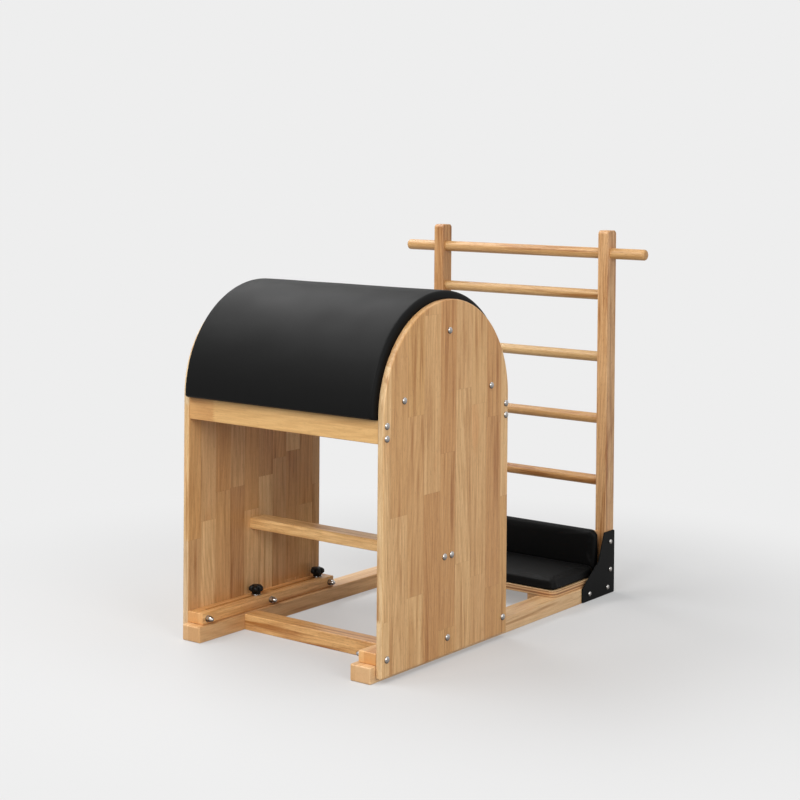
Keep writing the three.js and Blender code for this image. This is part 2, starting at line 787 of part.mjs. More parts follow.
function batten(side) {
  const outer = beamInner - seatGap;
  const inner = outer - battenWidth;
  const xs = side > 0 ? [inner, outer] : [-outer, -inner];
  const ys = [boardFront + battenFrontInset, baseLength - crossbeamDepth - battenRearInset];
  return board(xs, ys, [beamHeight - battenHeight, beamHeight]);
}

// Cushion on a flat base: sides that bulge and draw in, and a crown that rises to its middle.
// Each ring is an inset from the outline and a share of the height.
function cushion(width, depth, height, rounding, cornerRadius) {
  const ringShares = [
    [0.1, 0], [0.02, 0.12], [0, 0.3], [0.05, 0.55], [0.25, 0.76], [0.6, 0.87], [1.2, 0.94], [2.4, 0.98],
  ];
  const rings = ringShares.map(([insetShare, heightShare]) => {
    const inset = insetShare * rounding;
    const radius = Math.max(cornerRadius - inset, cushionLeastRadius);
    const outline = roundedOutline(width - 2 * inset, depth - 2 * inset, radius, cornerSteps);
    return outline.map((point) => new THREE.Vector3(point.x, point.y, heightShare * height));
  });
  const count = rings[0].length;
  const points = rings.flat();
  const crown = points.push(new THREE.Vector3(0, 0, height)) - 1;
  const base = points.push(new THREE.Vector3(0, 0, 0)) - 1;
  const triangles = [];
  for (let i = 0; i < count; i++) {
    const next = (i + 1) % count;
    for (let ring = 0; ring + 1 < rings.length; ring++) {
      const [a, b] = [ring * count + i, ring * count + next];
      triangles.push(a, b, b + count, a, b + count, a + count);
    }
    const last = (rings.length - 1) * count;
    triangles.push(last + i, last + next, crown, next, i, base);
  }
  const positions = points.flatMap((point) => [point.x, point.y, point.z]);
  const geometry = new THREE.BufferGeometry();
  geometry.setAttribute('position', new THREE.Float32BufferAttribute(positions, 3));
  geometry.setIndex(triangles);
  geometry.computeVertexNormals();
  return geometry;
}

function seatPad() {
  const front = boardFront + seatPadInset;
  const rear = uprightFront - 2 * seatGap - backBoardThickness - backPadThickness - seatGap;
  const width = boardWidth - 2 * seatPadInset;
  const geometry = cushion(width, rear - front, seatPadThickness, seatPadRounding, boardCornerRadius);
  return geometry.translate(0, (front + rear) / 2, boardTop + seatGap);
}

function backPad() {
  const geometry = cushion(backPadWidth, backPadHeight, backPadThickness, backPadRounding, boardCornerRadius);
  const face = uprightFront - 2 * seatGap - backBoardThickness;
  return geometry.rotateX(Math.PI / 2).translate(0, face, boardTop + seatGap + backPadHeight / 2);
}

function backBoard() {
  const half = backPadWidth / 2 - backBoardInset;
  const rear = uprightFront - seatGap;
  const foot = boardTop + seatGap;
  const zs = [foot, foot + backPadHeight - backBoardInset];
  return board([-half, half], [rear - backBoardThickness, rear], zs);
}

// The base with its ladder and foot rest, with Y measured from the beams' front ends.
function baseUnit() {
  const unit = new THREE.Group();
  for (const [word, side] of [['right', 1], ['left', -1]]) {
    unit.add(piece(`${word}_beam`, beam(side), paleWood));
    unit.add(piece(`${word}_upright`, upright(side), paleWood));
    unit.add(piece(`${word}_corner_plate`, cornerPlate(side), blackPlate));
    unit.add(piece(`${word}_batten`, batten(side), paleWood));
  }
  unit.add(piece('front_crossbeam', crossbeam(frontCrossbeamInset), paleWood));
  unit.add(piece('rear_crossbeam', crossbeam(baseLength - crossbeamDepth), paleWood));
  for (let i = 0; i < lowerRungCount; i++) unit.add(piece(`rung_${i + 1}`, lowerRung(i), paleWood));
  unit.add(piece('top_rung', topRung(), paleWood));
  unit.add(piece('foot_board', footBoard(), wood));
  unit.add(piece('seat_pad', seatPad(), leather));
  unit.add(piece('back_board', backBoard(), wood));
  unit.add(piece('back_pad', backPad(), leather));
  return unit;
}

// The four knobs at the rear ends of the cleats' slots.
function knobs() {
  const group = new THREE.Group();
  const middle = (cleatInner + panelInner) / 2;
  for (const [word, side] of [['right', 1], ['left', -1]]) {
    for (const [end, place] of [['front', firstKnobPlace], ['rear', firstKnobPlace + slotPitch]]) {
      const knob = piece(`${word}_${end}_knob`, starKnob(), blackPlastic);
      knob.position.set(side * middle, panelSetback + place, cleatTop + seatGap);
      group.add(knob);
    }
  }
  return group;
}

const ladderBarrel = new THREE.Group();
const base = baseUnit();
const barrel = barrelUnit();
const knobSet = knobs();
base.position.y = -baseLength / 2;
barrel.position.y = panelSetback - baseLength / 2;
knobSet.position.y = -baseLength / 2;
ladderBarrel.add(base, barrel, knobSet);

export default ladderBarrel;
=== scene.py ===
import math

import bmesh
import bpy
from mathutils import Matrix, Vector, noise


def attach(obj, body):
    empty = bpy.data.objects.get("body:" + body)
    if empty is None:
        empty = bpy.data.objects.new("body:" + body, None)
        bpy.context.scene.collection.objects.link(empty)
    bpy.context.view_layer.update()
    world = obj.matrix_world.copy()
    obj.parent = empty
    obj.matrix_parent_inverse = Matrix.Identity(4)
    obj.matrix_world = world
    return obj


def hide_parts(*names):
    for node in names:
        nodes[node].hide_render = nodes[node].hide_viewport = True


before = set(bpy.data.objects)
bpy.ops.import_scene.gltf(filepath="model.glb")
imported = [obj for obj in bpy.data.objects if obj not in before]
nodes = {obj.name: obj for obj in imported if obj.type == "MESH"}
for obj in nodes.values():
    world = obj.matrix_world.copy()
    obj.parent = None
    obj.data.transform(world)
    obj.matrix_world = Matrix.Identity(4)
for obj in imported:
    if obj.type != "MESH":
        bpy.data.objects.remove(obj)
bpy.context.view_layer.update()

scene = bpy.context.scene
scene.view_settings.view_transform = "Standard"

# The camera stands in front and to the right, a little above the ladder's top, with a long lens.
# Its lens is shifted down, so that the posts stay upright in the picture.
camera_place = Vector((2.70439, -3.61445, 1.20411))
camera_azimuth = math.radians(37.242)
camera_pitch = math.radians(0.997)
camera_roll = math.radians(0.467)
camera_data = bpy.data.cameras.new("camera")
camera_data.sensor_width = 36
camera_data.lens = 77.892
camera_data.shift_y = -0.2693
camera_data.clip_end = 200
camera = bpy.data.objects.new("camera", camera_data)
scene.collection.objects.link(camera)
scene.camera = camera
level = Vector((math.cos(camera_azimuth), math.sin(camera_azimuth), 0))
flat, drop = math.cos(camera_pitch), math.sin(camera_pitch)
forward = Vector((-level.y * flat, level.x * flat, -drop))
upward = level.cross(forward)
right = level * math.cos(camera_roll) + upward * math.sin(camera_roll)
upward = upward * math.cos(camera_roll) - level * math.sin(camera_roll)
turn = Matrix((right, upward, -forward)).transposed()
camera.matrix_world = Matrix.Translation(camera_place) @ turn.to_4x4()

# The studio: one pale floor that runs into an equally pale background. One soft light stands in
# front, one on each side, of which the left one is long and high, and a weak one hangs above.
pale = (0.855, 0.855, 0.855, 1)
floor_radius = 60
shadow_reach, fade_end = 0.6, 1.7


def add(tree, kind, inputs=None, **settings):
    """A node with its settings, its inputs linked where they are sockets and set where they aren't."""
    node = tree.nodes.new(kind)
    for name, value in settings.items():
        setattr(node, name, value)
    for key, value in (inputs or {}).items():
        if isinstance(value, bpy.types.NodeSocket):
            tree.links.new(value, node.inputs[key])
        else:
            node.inputs[key].default_value = value
    return node


def link_object(name, data):
    """A new piece in the scene, from its mesh or lamp."""
    piece = bpy.data.objects.new(name, data)
    scene.collection.objects.link(piece)
    return piece


def blank_material(name):
    """A new material, and its tree without nodes."""
    material = bpy.data.materials.new(name)
    material.use_nodes = True
    material.node_tree.nodes.clear()
    return material, material.node_tree


def reckon(tree, operation, *values):
    """The result of a Math node on sockets or numbers."""
    return add(tree, "ShaderNodeMath", dict(enumerate(values)), operation=operation).outputs[0]


def lit_or_seen(tree, for_light, for_view):
    """One number for the light on the object, and another for what the camera, metal and glass see."""
    ray = add(tree, "ShaderNodeLightPath").outputs
    passed_on = reckon(tree, "MAXIMUM", ray["Is Glossy Ray"], ray["Is Transmission Ray"])
    seen = reckon(tree, "MAXIMUM", ray["Is Camera Ray"], passed_on)
    inputs = {"Factor": seen, "A": for_light, "B": for_view}
    return add(tree, "ShaderNodeMix", inputs, data_type="FLOAT").outputs[0]


floor_mesh = bpy.data.meshes.new("studio_floor")
shape = bmesh.new()
bmesh.ops.create_circle(shape, cap_ends=True, segments=96, radius=floor_radius)
shape.to_mesh(floor_mesh)
shape.free()
floor = link_object("studio_floor", floor_mesh)
floor_look, tree = blank_material("studio_floor")
diffuse = add(tree, "ShaderNodeBsdfDiffuse", {"Color": lit_or_seen(tree, 0.52, 0.64)})
glow = add(tree, "ShaderNodeEmission", {"Color": pale, "Strength": lit_or_seen(tree, 0.4, 1.0)})
place = add(tree, "ShaderNodeTexCoord").outputs["Object"]
distance = add(tree, "ShaderNodeVectorMath", {0: place}, operation="LENGTH").outputs["Value"]
inputs = {"Value": distance, "From Min": shadow_reach, "From Max": fade_end, "To Min": 0.3}
fade = add(tree, "ShaderNodeMapRange", inputs, interpolation_type="SMOOTHSTEP").outputs["Result"]
mixed = add(tree, "ShaderNodeMixShader", {0: fade, 1: diffuse.outputs[0], 2: glow.outputs[0]})
add(tree, "ShaderNodeOutputMaterial", {"Surface": mixed.outputs[0]})
floor_mesh.materials.append(floor_look)

world = bpy.data.worlds.new("studio")
world.use_nodes = True
scene.world = world
tree = world.node_tree
tree.nodes.clear()
background = add(tree, "ShaderNodeBackground", {"Color": pale, "Strength": lit_or_seen(tree, 0.15, 1.0)})
add(tree, "ShaderNodeOutputWorld", {"Surface": background.outputs[0]})

for name, place, target, width, depth, power in (
    ("front_softbox", (0.3, -3.8, 2.9), (0, -0.1, 0.4), 2.6, 2.2, 112),
    ("side_softbox", (4.4, -1.7, 1.9), (0, 0, 0.4), 2.6, 2.2, 93),
    ("overhead_softbox", (1.4, 0.6, 4.0), (0, 0, 0.3), 2.4, 2.4, 31),
    ("left_softbox", (-2.4, -0.7, 3.8), (0, -0.15, 0.8), 6.4, 1.4, 172),
):
    lamp_data = bpy.data.lights.new(name, "AREA")
    lamp_data.shape = "RECTANGLE"
    lamp_data.size = width
    lamp_data.size_y = depth
    lamp_data.energy = power
    lamp = link_object(name, lamp_data)
    aim = (Vector(target) - Vector(place)).to_track_quat("-Z", "Y")
    lamp.matrix_world = Matrix.Translation(place) @ aim.to_matrix().to_4x4()

# The side panels are edge-glued rubberwood boards with an arched top, finger-jointed from short
# upright staves, sanded round at the edges and lacquered.


def new_group(name, inputs, outputs, kind="ShaderNodeTree"):
    """An empty node group with its sockets, the outputs of its input node, and its output node."""
    group = bpy.data.node_groups.new(name, kind)
    for socket_name, socket_kind, value in inputs:
        socket = group.interface.new_socket(socket_name, in_out="INPUT", socket_type=socket_kind)
        if value is not None:
            socket.default_value = value
    for socket_name, socket_kind in outputs:
        group.interface.new_socket(socket_name, in_out="OUTPUT", socket_type=socket_kind)
    return group, group.nodes.new("NodeGroupInput").outputs, group.nodes.new("NodeGroupOutput")


def blended(tree, share, first, second, blend="MIX"):
    """The result of a colour Mix node."""
    inputs = {"Factor": share, 6: first, 7: second}
    return add(tree, "ShaderNodeMix", inputs, data_type="RGBA", blend_type=blend).outputs[2]


def spread(tree, value, low, high, to_low=0.0, to_high=1.0, kind="SMOOTHSTEP"):
    """A value between low and high as a share between to_low and to_high."""
    inputs = {"Value": value, "From Min": low, "From Max": high, "To Min": to_low, "To Max": to_high}
    return add(tree, "ShaderNodeMapRange", inputs, interpolation_type=kind).outputs["Result"]


def cloudy(tree, place, scale, detail, roughness=0.5):
    """The value of a Noise Texture at a place."""
    inputs = {"Vector": place, "Scale": scale, "Detail": detail, "Roughness": roughness}
    return add(tree, "ShaderNodeTexNoise", inputs).outputs["Fac"]


def surfaced(tree, colour, roughness, height, strength, relief, specular=0.5, metallic=0.0):
    """Ends a material's tree in its shader, with a bump of a strength and a relief in metres."""
    bump = add(tree, "ShaderNodeBump", {"Height": height, "Strength": strength, "Distance": relief})
    shader = add(tree, "ShaderNodeBsdfPrincipled", {
        "Base Color": colour, "Roughness": roughness, "Metallic": metallic, "Specular IOR Level": specular,
        "Normal": bump.outputs[0]})
    add(tree, "ShaderNodeOutputMaterial", {"Surface": shader.outputs[0]})


rubberwood_group, given, result = new_group(
    "rubberwood",
    (("Place", "NodeSocketVector", None), ("Normal", "NodeSocketVector", None),
     ("Stave Width", "NodeSocketFloat", 0.06), ("Stave Length", "NodeSocketFloat", 0.4),
     ("Start", "NodeSocketFloat", 0.0), ("Stagger", "NodeSocketFloat", 7.0),
     ("Seed", "NodeSocketFloat", 0.0), ("Figure", "NodeSocketFloat", 1.0),
     ("Pale", "NodeSocketColor", (0.55, 0.32, 0.14, 1)), ("Deep", "NodeSocketColor", (0.4, 0.2, 0.08, 1)),
     ("Warm", "NodeSocketColor", (0.5, 0.24, 0.09, 1)), ("Variation", "NodeSocketFloat", 1.0)),
    (("Color", "NodeSocketColor"), ("Height", "NodeSocketFloat"), ("Roughness", "NodeSocketFloat")),
)
tree = rubberwood_group
across, through, along = add(tree, "ShaderNodeSeparateXYZ", {0: given["Place"]}).outputs


def white(x, y, z):
    """Three random shares for a numbered cell."""
    cell = add(rubberwood_group, "ShaderNodeCombineXYZ", {0: x, 1: y, 2: z}).outputs[0]
    noise_node = add(rubberwood_group, "ShaderNodeTexWhiteNoise", {"Vector": cell}, noise_dimensions="3D")
    return add(rubberwood_group, "ShaderNodeSeparateColor", {0: noise_node.outputs["Color"]}).outputs


# Each stave has a number across the board, and each block one along its stave. The fingers of the
# joints show on the board's edges, and a straight line on its faces.
stave = reckon(tree, "ADD", reckon(tree, "DIVIDE", across, given["Stave Width"]), given["Seed"])
stave_number = reckon(tree, "FLOOR", stave)
stave_chance = add(tree, "ShaderNodeTexWhiteNoise", {"W": stave_number}, noise_dimensions="1D")
finger_width, finger_steepness = 0.0022, 4.5
finger = reckon(tree, "PINGPONG", through, finger_width)
finger = reckon(tree, "MULTIPLY_ADD", finger, finger_steepness, along)
block = reckon(tree, "DIVIDE", reckon(tree, "ADD", finger, given["Start"]), given["Stave Length"])
block = reckon(tree, "MULTIPLY_ADD", stave_chance.outputs["Value"], given["Stagger"], block)
block_number = reckon(tree, "FLOOR", block)
tone, warmth, figure = white(stave_number, block_number, given["Seed"])
# A stave's blocks come from like boards, so half of a block's tone is its stave's.
stave_row, ring_draw = 777.0, 55.0
stave_tone = white(stave_number, stave_row, given["Seed"])[0]
centre, slope, crowd = white(stave_number, block_number, ring_draw)
# Grain is drawn out along the stave, and differs from block to block.
shift = add(tree, "ShaderNodeCombineXYZ", {0: tone, 1: warmth, 2: figure}).outputs[0]
shift = add(tree, "ShaderNodeVectorMath", {0: shift, "Scale": 9.0}, operation="SCALE").outputs[0]


def grain_noise(scale, detail, drawn_out, roughness=0.55):
    """Noise that is drawn out along the grain."""
    squeezed = reckon(rubberwood_group, "MULTIPLY", along, drawn_out)
    place = add(rubberwood_group, "ShaderNodeCombineXYZ", {0: across, 1: through, 2: squeezed}).outputs[0]
    place = add(rubberwood_group, "ShaderNodeVectorMath", {0: place, 1: shift}, operation="ADD").outputs[0]
    return cloudy(rubberwood_group, place, scale, detail, roughness)


# Growth rings: long arches where the stave was cut near the heart, and straight lines elsewhere.
heart = spread(tree, centre, 0, 1, -0.7, 1.7, "LINEAR")
from_heart = reckon(tree, "SUBTRACT", reckon(tree, "FRACT", stave), heart)
from_heart = reckon(tree, "MULTIPLY", from_heart, reckon(tree, "MULTIPLY", given["Stave Width"], 16.0))
deep_in = reckon(tree, "MULTIPLY_ADD", reckon(tree, "PINGPONG", through, 0.05), 11.0, 0.1)
arched = reckon(tree, "MULTIPLY_ADD", from_heart, from_heart, reckon(tree, "MULTIPLY", deep_in, deep_in))
arched = reckon(tree, "SQRT", arched)
ring_count = spread(tree, crowd, 0, 1, 4.0, 11.0, "LINEAR")
wander = reckon(tree, "MULTIPLY", grain_noise(22, 3, 0.13), 4.0)
rings = reckon(tree, "MULTIPLY_ADD", arched, ring_count, wander)
rings = reckon(tree, "MULTIPLY_ADD", along, spread(tree, slope, 0, 1, -9.0, 9.0, "LINEAR"), rings)
ring = reckon(tree, "MULTIPLY_ADD", reckon(tree, "SINE", reckon(tree, "MULTIPLY", rings, math.tau)), 0.5, 0.5)
ring = reckon(tree, "POWER", ring, 1.7)
# Dark and light streaks, fine lines, the fibre's own grain, open pores and broad flushes of colour.
calm = spread(tree, grain_noise(12, 1, 0.3), 0.35, 0.65, 1.0, 0.35)
dark_streak = reckon(tree, "MULTIPLY", spread(tree, grain_noise(75, 3, 0.04), 0.48, 0.7), calm)
light_streak = spread(tree, grain_noise(120, 2, 0.02), 0.5, 0.68)
fine_streak = spread(tree, grain_noise(210, 3, 0.04), 0.4, 0.7)
fibre = grain_noise(600, 3, 0.07, 0.65)
pore = spread(tree, grain_noise(1500, 1, 0.045), 0.62, 0.72)
flush = spread(tree, grain_noise(22, 2, 0.2), 0.6, 0.74)

end_facing = reckon(tree, "ABSOLUTE", add(tree, "ShaderNodeSeparateXYZ", {0: given["Normal"]}).outputs[2])
figured = reckon(tree, "MULTIPLY", given["Figure"], spread(tree, end_facing, 0.55, 0.95, 1.0, 0.25))
tone_share = spread(tree, reckon(tree, "MULTIPLY", reckon(tree, "ADD", tone, stave_tone), 0.5), 0.18, 0.82)
tone_share = reckon(tree, "MULTIPLY", tone_share, given["Variation"])
warm_share = reckon(tree, "MULTIPLY", reckon(tree, "POWER", warmth, 2.5), given["Variation"])
colour = blended(tree, tone_share, given["Pale"], given["Deep"])
colour = blended(tree, warm_share, colour, given["Warm"])
ring_colour = (0.70, 0.57, 0.44, 1)
ring_share = reckon(tree, "MULTIPLY", spread(tree, figure, 0, 1, 0.0, 0.45, "LINEAR"), figured)
colour = blended(tree, reckon(tree, "MULTIPLY", ring, ring_share), colour, ring_colour, "MULTIPLY")
for share, strength, tint in (
    (dark_streak, 0.9, (0.62, 0.46, 0.31, 1)), (light_streak, 0.6, (1.14, 1.17, 1.22, 1)),
    (flush, 0.4, (0.98, 0.78, 0.64, 1)), (fine_streak, 0.36, (0.68, 0.54, 0.38, 1)),
    (spread(tree, fibre, 0.3, 0.75), 0.3, (0.68, 0.57, 0.44, 1)), (pore, 0.5, (0.4, 0.28, 0.18, 1)),
):
    weight = reckon(tree, "MULTIPLY", reckon(tree, "MULTIPLY", share, strength), figured)
    colour = blended(tree, weight, colour, tint, "MULTIPLY")
# Faint glue lines, and the darker end grain.
glue_colour, end_grain_colour = (0.45, 0.32, 0.22, 1), (0.7, 0.55, 0.42, 1)
from_stave = reckon(tree, "MULTIPLY", reckon(tree, "PINGPONG", stave, 0.5), given["Stave Width"])
from_block = reckon(tree, "MULTIPLY", reckon(tree, "PINGPONG", block, 0.5), given["Stave Length"])
glue = spread(tree, reckon(tree, "MINIMUM", from_stave, from_block), 0.0002, 0.0007, 0.2, 0.0, "LINEAR")
colour = blended(tree, glue, colour, glue_colour, "MULTIPLY")
colour = blended(tree, spread(tree, end_facing, 0.55, 0.95, 0.0, 0.5), colour, end_grain_colour, "MULTIPLY")
height = reckon(tree, "MULTIPLY_ADD", fibre, 0.5, reckon(tree, "MULTIPLY", ring, -0.18))
height = reckon(tree, "MULTIPLY_ADD", pore, -0.5, height)
rough = spread(tree, fibre, 0.3, 0.7, 0.32, 0.44, "LINEAR")
for name, value in (("Color", colour), ("Height", height), ("Roughness", rough)):
    tree.links.new(value, result.inputs[name])


def rubberwood(name, order, seed, pale_tone, deep_tone, warm_tone, edge_tone=None, **sizes):
    """Lacquered rubberwood. order names the axes across, through and along the grain."""
    material, tree = blank_material(name)
    source = add(tree, "ShaderNodeTexCoord")

    def reordered(vector):
        """A vector with its parts across, through and along the grain."""
        parts = add(tree, "ShaderNodeSeparateXYZ", {0: vector}).outputs
        picked = {index: parts["XYZ".index(axis)] for index, axis in enumerate(order)}
        return add(tree, "ShaderNodeCombineXYZ", picked).outputs[0]

    normal = reordered(source.outputs["Normal"])
    values = {"Place": reordered(source.outputs["Object"]), "Normal": normal, "Seed": seed,
              "Pale": pale_tone, "Deep": deep_tone, "Warm": warm_tone}
    values.update({key.replace("_", " ").title(): value for key, value in sizes.items()})
    wood = add(tree, "ShaderNodeGroup", values, node_tree=rubberwood_group)
    colour = wood.outputs["Color"]
    if edge_tone:
        face = reckon(tree, "ABSOLUTE", add(tree, "ShaderNodeSeparateXYZ", {0: normal}).outputs[1])
        colour = blended(tree, spread(tree, face, 0.5, 0.8, 1.0, 0.0), colour, edge_tone, "MULTIPLY")
    surfaced(tree, colour, wood.outputs["Roughness"], wood.outputs["Height"], 0.25, 0.0006, specular=0.38)
    return material


def dress(material, *names):
    """Gives a material to the CAD pieces of those names."""
    for name in names:
        nodes[name].data.materials.clear()
        nodes[name].data.materials.append(material)


def inset_outline(outline, inset):
    """An anticlockwise outline drawn in by a distance, with mitred corners."""
    moved = []
    for index, here in enumerate(outline):
        before = (here - outline[index - 1]).normalized()
        after = (outline[(index + 1) % len(outline)] - here).normalized()
        inward = Vector((-before.y, before.x))
        middle = (inward + Vector((-after.y, after.x))).normalized()
        moved.append(here + middle * (inset / max(middle.dot(inward), 0.3)))
    return moved


def mesh_piece(name, points, faces, *materials, sharp=40):
    """A piece from points and faces, smooth but for the edges sharper than an angle."""
    mesh = bpy.data.meshes.new(name)
    mesh.from_pydata([tuple(point) for point in points], [], faces)
    shape = bmesh.new()
    shape.from_mesh(mesh)
    bmesh.ops.remove_doubles(shape, verts=shape.verts, dist=1e-6)
    bmesh.ops.recalc_face_normals(shape, faces=shape.faces)
    shape.to_mesh(mesh)
    shape.free()
    mesh.shade_smooth()
    mesh.set_sharp_from_angle(angle=math.radians(sharp))
    for material in materials:
        mesh.materials.append(material)
    return link_object(name, mesh)


def capped_strips(ring_count, size):
    """The faces between rings of points that follow each other, with a cap on the first and the last."""
    last = (ring_count - 1) * size
    faces = [list(range(size)), list(range(last, last + size))]
    for start in range(0, last, size):
        for index in range(size):
            here, beside = start + index, start + (index + 1) % size
            faces.append((here, beside, beside + size, here + size))
    return faces


def rounded_plate(name, outline, low, high, rounding, material, steps=4):
    """A plate that is rounded over at both faces, from low to high along X, with its outline in Y and Z."""
    rises = [(rounding + 0.0006, 0)]
    for step in range(steps + 1):
        angle = math.pi / 2 * step / steps
        rises.append((rounding * (1 - math.sin(angle)), rounding * (1 - math.cos(angle))))
    rings = [(inset, low + rise) for inset, rise in rises]
    rings += [(inset, high - rise) for inset, rise in reversed(rises)]
    points = [(x, point.x, point.y) for inset, x in rings for point in inset_outline(outline, inset)]
    return mesh_piece(name, points, capped_strips(len(rings), len(outline)), material)


def arc(centre, radius, start, end, steps):
    """Points of an arc between two angles in degrees."""
    middle = Vector(centre)
    turns = [math.radians(start + (end - start) * step / steps) for step in range(steps + 1)]
    return [middle + radius * Vector((math.cos(turn), math.sin(turn))) for turn in turns]


barrel_front = -0.5235
panel_depth = 0.508
panel_inner, panel_outer = 0.296, 0.314
panel_foot = 0.012
panel_rounding = 0.0035
arch_centre = (barrel_front + panel_depth / 2, 0.607)
panel_outline = [Vector((barrel_front, panel_foot)), Vector((barrel_front + panel_depth, panel_foot))]
panel_outline += arc(arch_centre, panel_depth / 2, 0, 180, 120)
# A panel's tones are the pale, the deep and the warm one of its staves, and the tint of its edges.
russet = (0.74, 0.43, 0.175, 1)
right_tones = ((0.885, 0.58, 0.285, 1), (0.655, 0.345, 0.135, 1), russet, (0.88, 0.95, 1.06, 1))
left_tones = ((0.93, 0.66, 0.35, 1), (0.56, 0.28, 0.105, 1), russet, (1.08, 1.25, 1.55, 1))
for side, name, stave_width, stave_length, seed, tones in (
    (1, "right_panel", 0.064, 0.42, 329.75, right_tones),
    (-1, "left_panel", 0.054, 0.34, 91.875, left_tones),
):
    look = rubberwood(name + "_staves", "YXZ", seed, *tones, stave_width=stave_width,
                      stave_length=stave_length, variation=1.15)
    low, high = sorted((side * panel_inner, side * panel_outer))
    panel = rounded_plate(name + "_board", panel_outline, low, high, panel_rounding, look)
    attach(panel, "barrel")
    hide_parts(name)

# The aprons and the stretcher between the panels are planed rubberwood rails, each glued up along
# its length from long blocks.


def bar_wood(name, order, seed, pale_tone, deep_tone, width, start, figure, length=1.2):
    """Rubberwood for bars, in long blocks that end side by side."""
    return rubberwood(name + "_rubberwood", order, seed, pale_tone, deep_tone, russet, stave_width=width,
                      stave_length=length, start=start, stagger=0.0, figure=figure)


apron_look = bar_wood("apron", "YZX", 102.0, (0.79, 0.49, 0.2, 1), (0.62, 0.31, 0.105, 1),
                      width=0.12, start=0.21, figure=0.7)
stretcher_look = bar_wood("stretcher", "YZX", 297.0, (0.92, 0.62, 0.29, 1), (0.86, 0.55, 0.24, 1),
                          width=0.12, start=0.6, figure=1.2)
dress(apron_look, "front_apron", "rear_apron")
dress(stretcher_look, "mid_stretcher")

# The barrel's shell is thin plywood, bent over three plywood arches that stand between the side
# panels. Shell and arches end just above the aprons.


def plywood(name, order, ply):
    """Plywood. order names the axes along its veneer, through its plies and across the grain."""
    material, tree = blank_material(name)
    source = add(tree, "ShaderNodeTexCoord")
    place = add(tree, "ShaderNodeSeparateXYZ", {0: source.outputs["Object"]}).outputs
    facing = add(tree, "ShaderNodeSeparateXYZ", {0: source.outputs["Normal"]}).outputs
    along, through, across = (place["XYZ".index(axis)] for axis in order)
    drawn_out = reckon(tree, "MULTIPLY", along, 0.05)
    grain = add(tree, "ShaderNodeCombineXYZ", {0: across, 1: through, 2: drawn_out}).outputs[0]
    figure = cloudy(tree, grain, 60, 5)
    fleck = cloudy(tree, grain, 600, 2)
    veneer = blended(tree, spread(tree, figure, 0.3, 0.7), (0.72, 0.5, 0.28, 1), (0.6, 0.38, 0.19, 1))
    veneer = blended(tree, spread(tree, fleck, 0.4, 0.8, 0.0, 0.4), veneer, (0.7, 0.6, 0.5, 1), "MULTIPLY")
    layer = reckon(tree, "PINGPONG", reckon(tree, "DIVIDE", through, ply), 1.0)
    plies = blended(tree, spread(tree, layer, 0.42, 0.58), (0.7, 0.44, 0.22, 1), (0.34, 0.155, 0.065, 1))
    on_edge = spread(tree, reckon(tree, "ABSOLUTE", facing["XYZ".index(order[1])]), 0.5, 0.7, 1.0, 0.0)
    colour = blended(tree, on_edge, veneer, plies)
    surfaced(tree, colour, spread(tree, figure, 0.2, 0.8, 0.45, 0.6), fleck, 0.15, 0.0004, specular=0.3)
    return material


dress(plywood("former_plywood", "ZXY", 0.0015), "right_former", "left_former", "middle_former")
dress(plywood("shell_plywood", "XZY", 0.0014), "barrel_shell")

# The barrel's pad is firm foam under black leatherette, which is pulled tight over the arch and
# stapled under its side edges and along its hems on the aprons.
pad_foot = 0.6003
leg = arch_centre[1] - pad_foot
pad_width = 0.5914
pad_inner_radius = 0.2415
pad_edge_radius = 0.2575
pad_crown_radius = 0.2735
pad_swell = 0.004
side_rounding, hem_rounding = 0.009, 0.008
skin_pitch = 0.0048
cover_pressure = 4
wave_height, pull_height = 0.0007, 0.0006
pull_length, calm_edge = 0.035, 0.02


def marks(length, rounding, pitch):
    """Distances along a skin, close together over the rounding at both ends."""
    near = [rounding * share for share in (0, 0.03, 0.1, 0.2, 0.34, 0.52, 0.74)]
    count = round((length - 2 * rounding) / pitch)
    even = [rounding + (length - 2 * rounding) * index / count for index in range(count + 1)]
    return near + even + [length - distance for distance in reversed(near)]


def swelling(distance, rounding):
    """A rounded rise from 0 at an edge to 1 at the end of its rounding."""
    return math.sqrt(max(1 - (1 - min(distance / rounding, 1)) ** 2.2, 0))


def on_arch(across, along, radius):
    """A point of the pad, from its place across the arch and along its crown, and its radius there."""
    half_turn = math.pi * pad_crown_radius
    angle = math.pi * (1 - min(max(along - leg, 0), half_turn) / half_turn)
    drop = max(leg - along, along - leg - half_turn, 0)
    height = arch_centre[1] + radius * math.sin(angle) - drop
    return Vector((across, arch_centre[0] + radius * math.cos(angle), height))


def puffed(piece, held, cap, frames=20):
    """Swells a skin as tight cloth over foam. Held points stay, and none moves further than the cap."""
    mesh = piece.data
    rest = [vertex.co.copy() for vertex in mesh.vertices]
    pins = piece.vertex_groups.new(name="held")
    pins.add(held, 1.0, "REPLACE")
    cloth = piece.modifiers.new("tight_cover", "CLOTH")
    cloth.settings.quality = 5
    cloth.settings.mass = 0.3
    cloth.settings.tension_stiffness = cloth.settings.compression_stiffness = 15
    cloth.settings.bending_stiffness = 0.5
    cloth.settings.vertex_group_mass = pins.name
    cloth.settings.use_pressure = True
    cloth.settings.uniform_pressure_force = cover_pressure
    cloth.settings.effector_weights.gravity = 0
    cloth.point_cache.frame_start, cloth.point_cache.frame_end = 1, frames
    for frame_number in range(1, frames + 1):
        scene.frame_set(frame_number)
    swollen = piece.evaluated_get(bpy.context.evaluated_depsgraph_get()).to_mesh()
    moves = [vertex.co - start for vertex, start in zip(swollen.vertices, rest)]
    piece.modifiers.remove(cloth)
    piece.vertex_groups.remove(pins)
    for vertex, start, move in zip(mesh.vertices, rest, moves):
        vertex.co = start + move * min(1, cap / max(move.length, 1e-9))
    mesh.update()
    scene.frame_set(1)


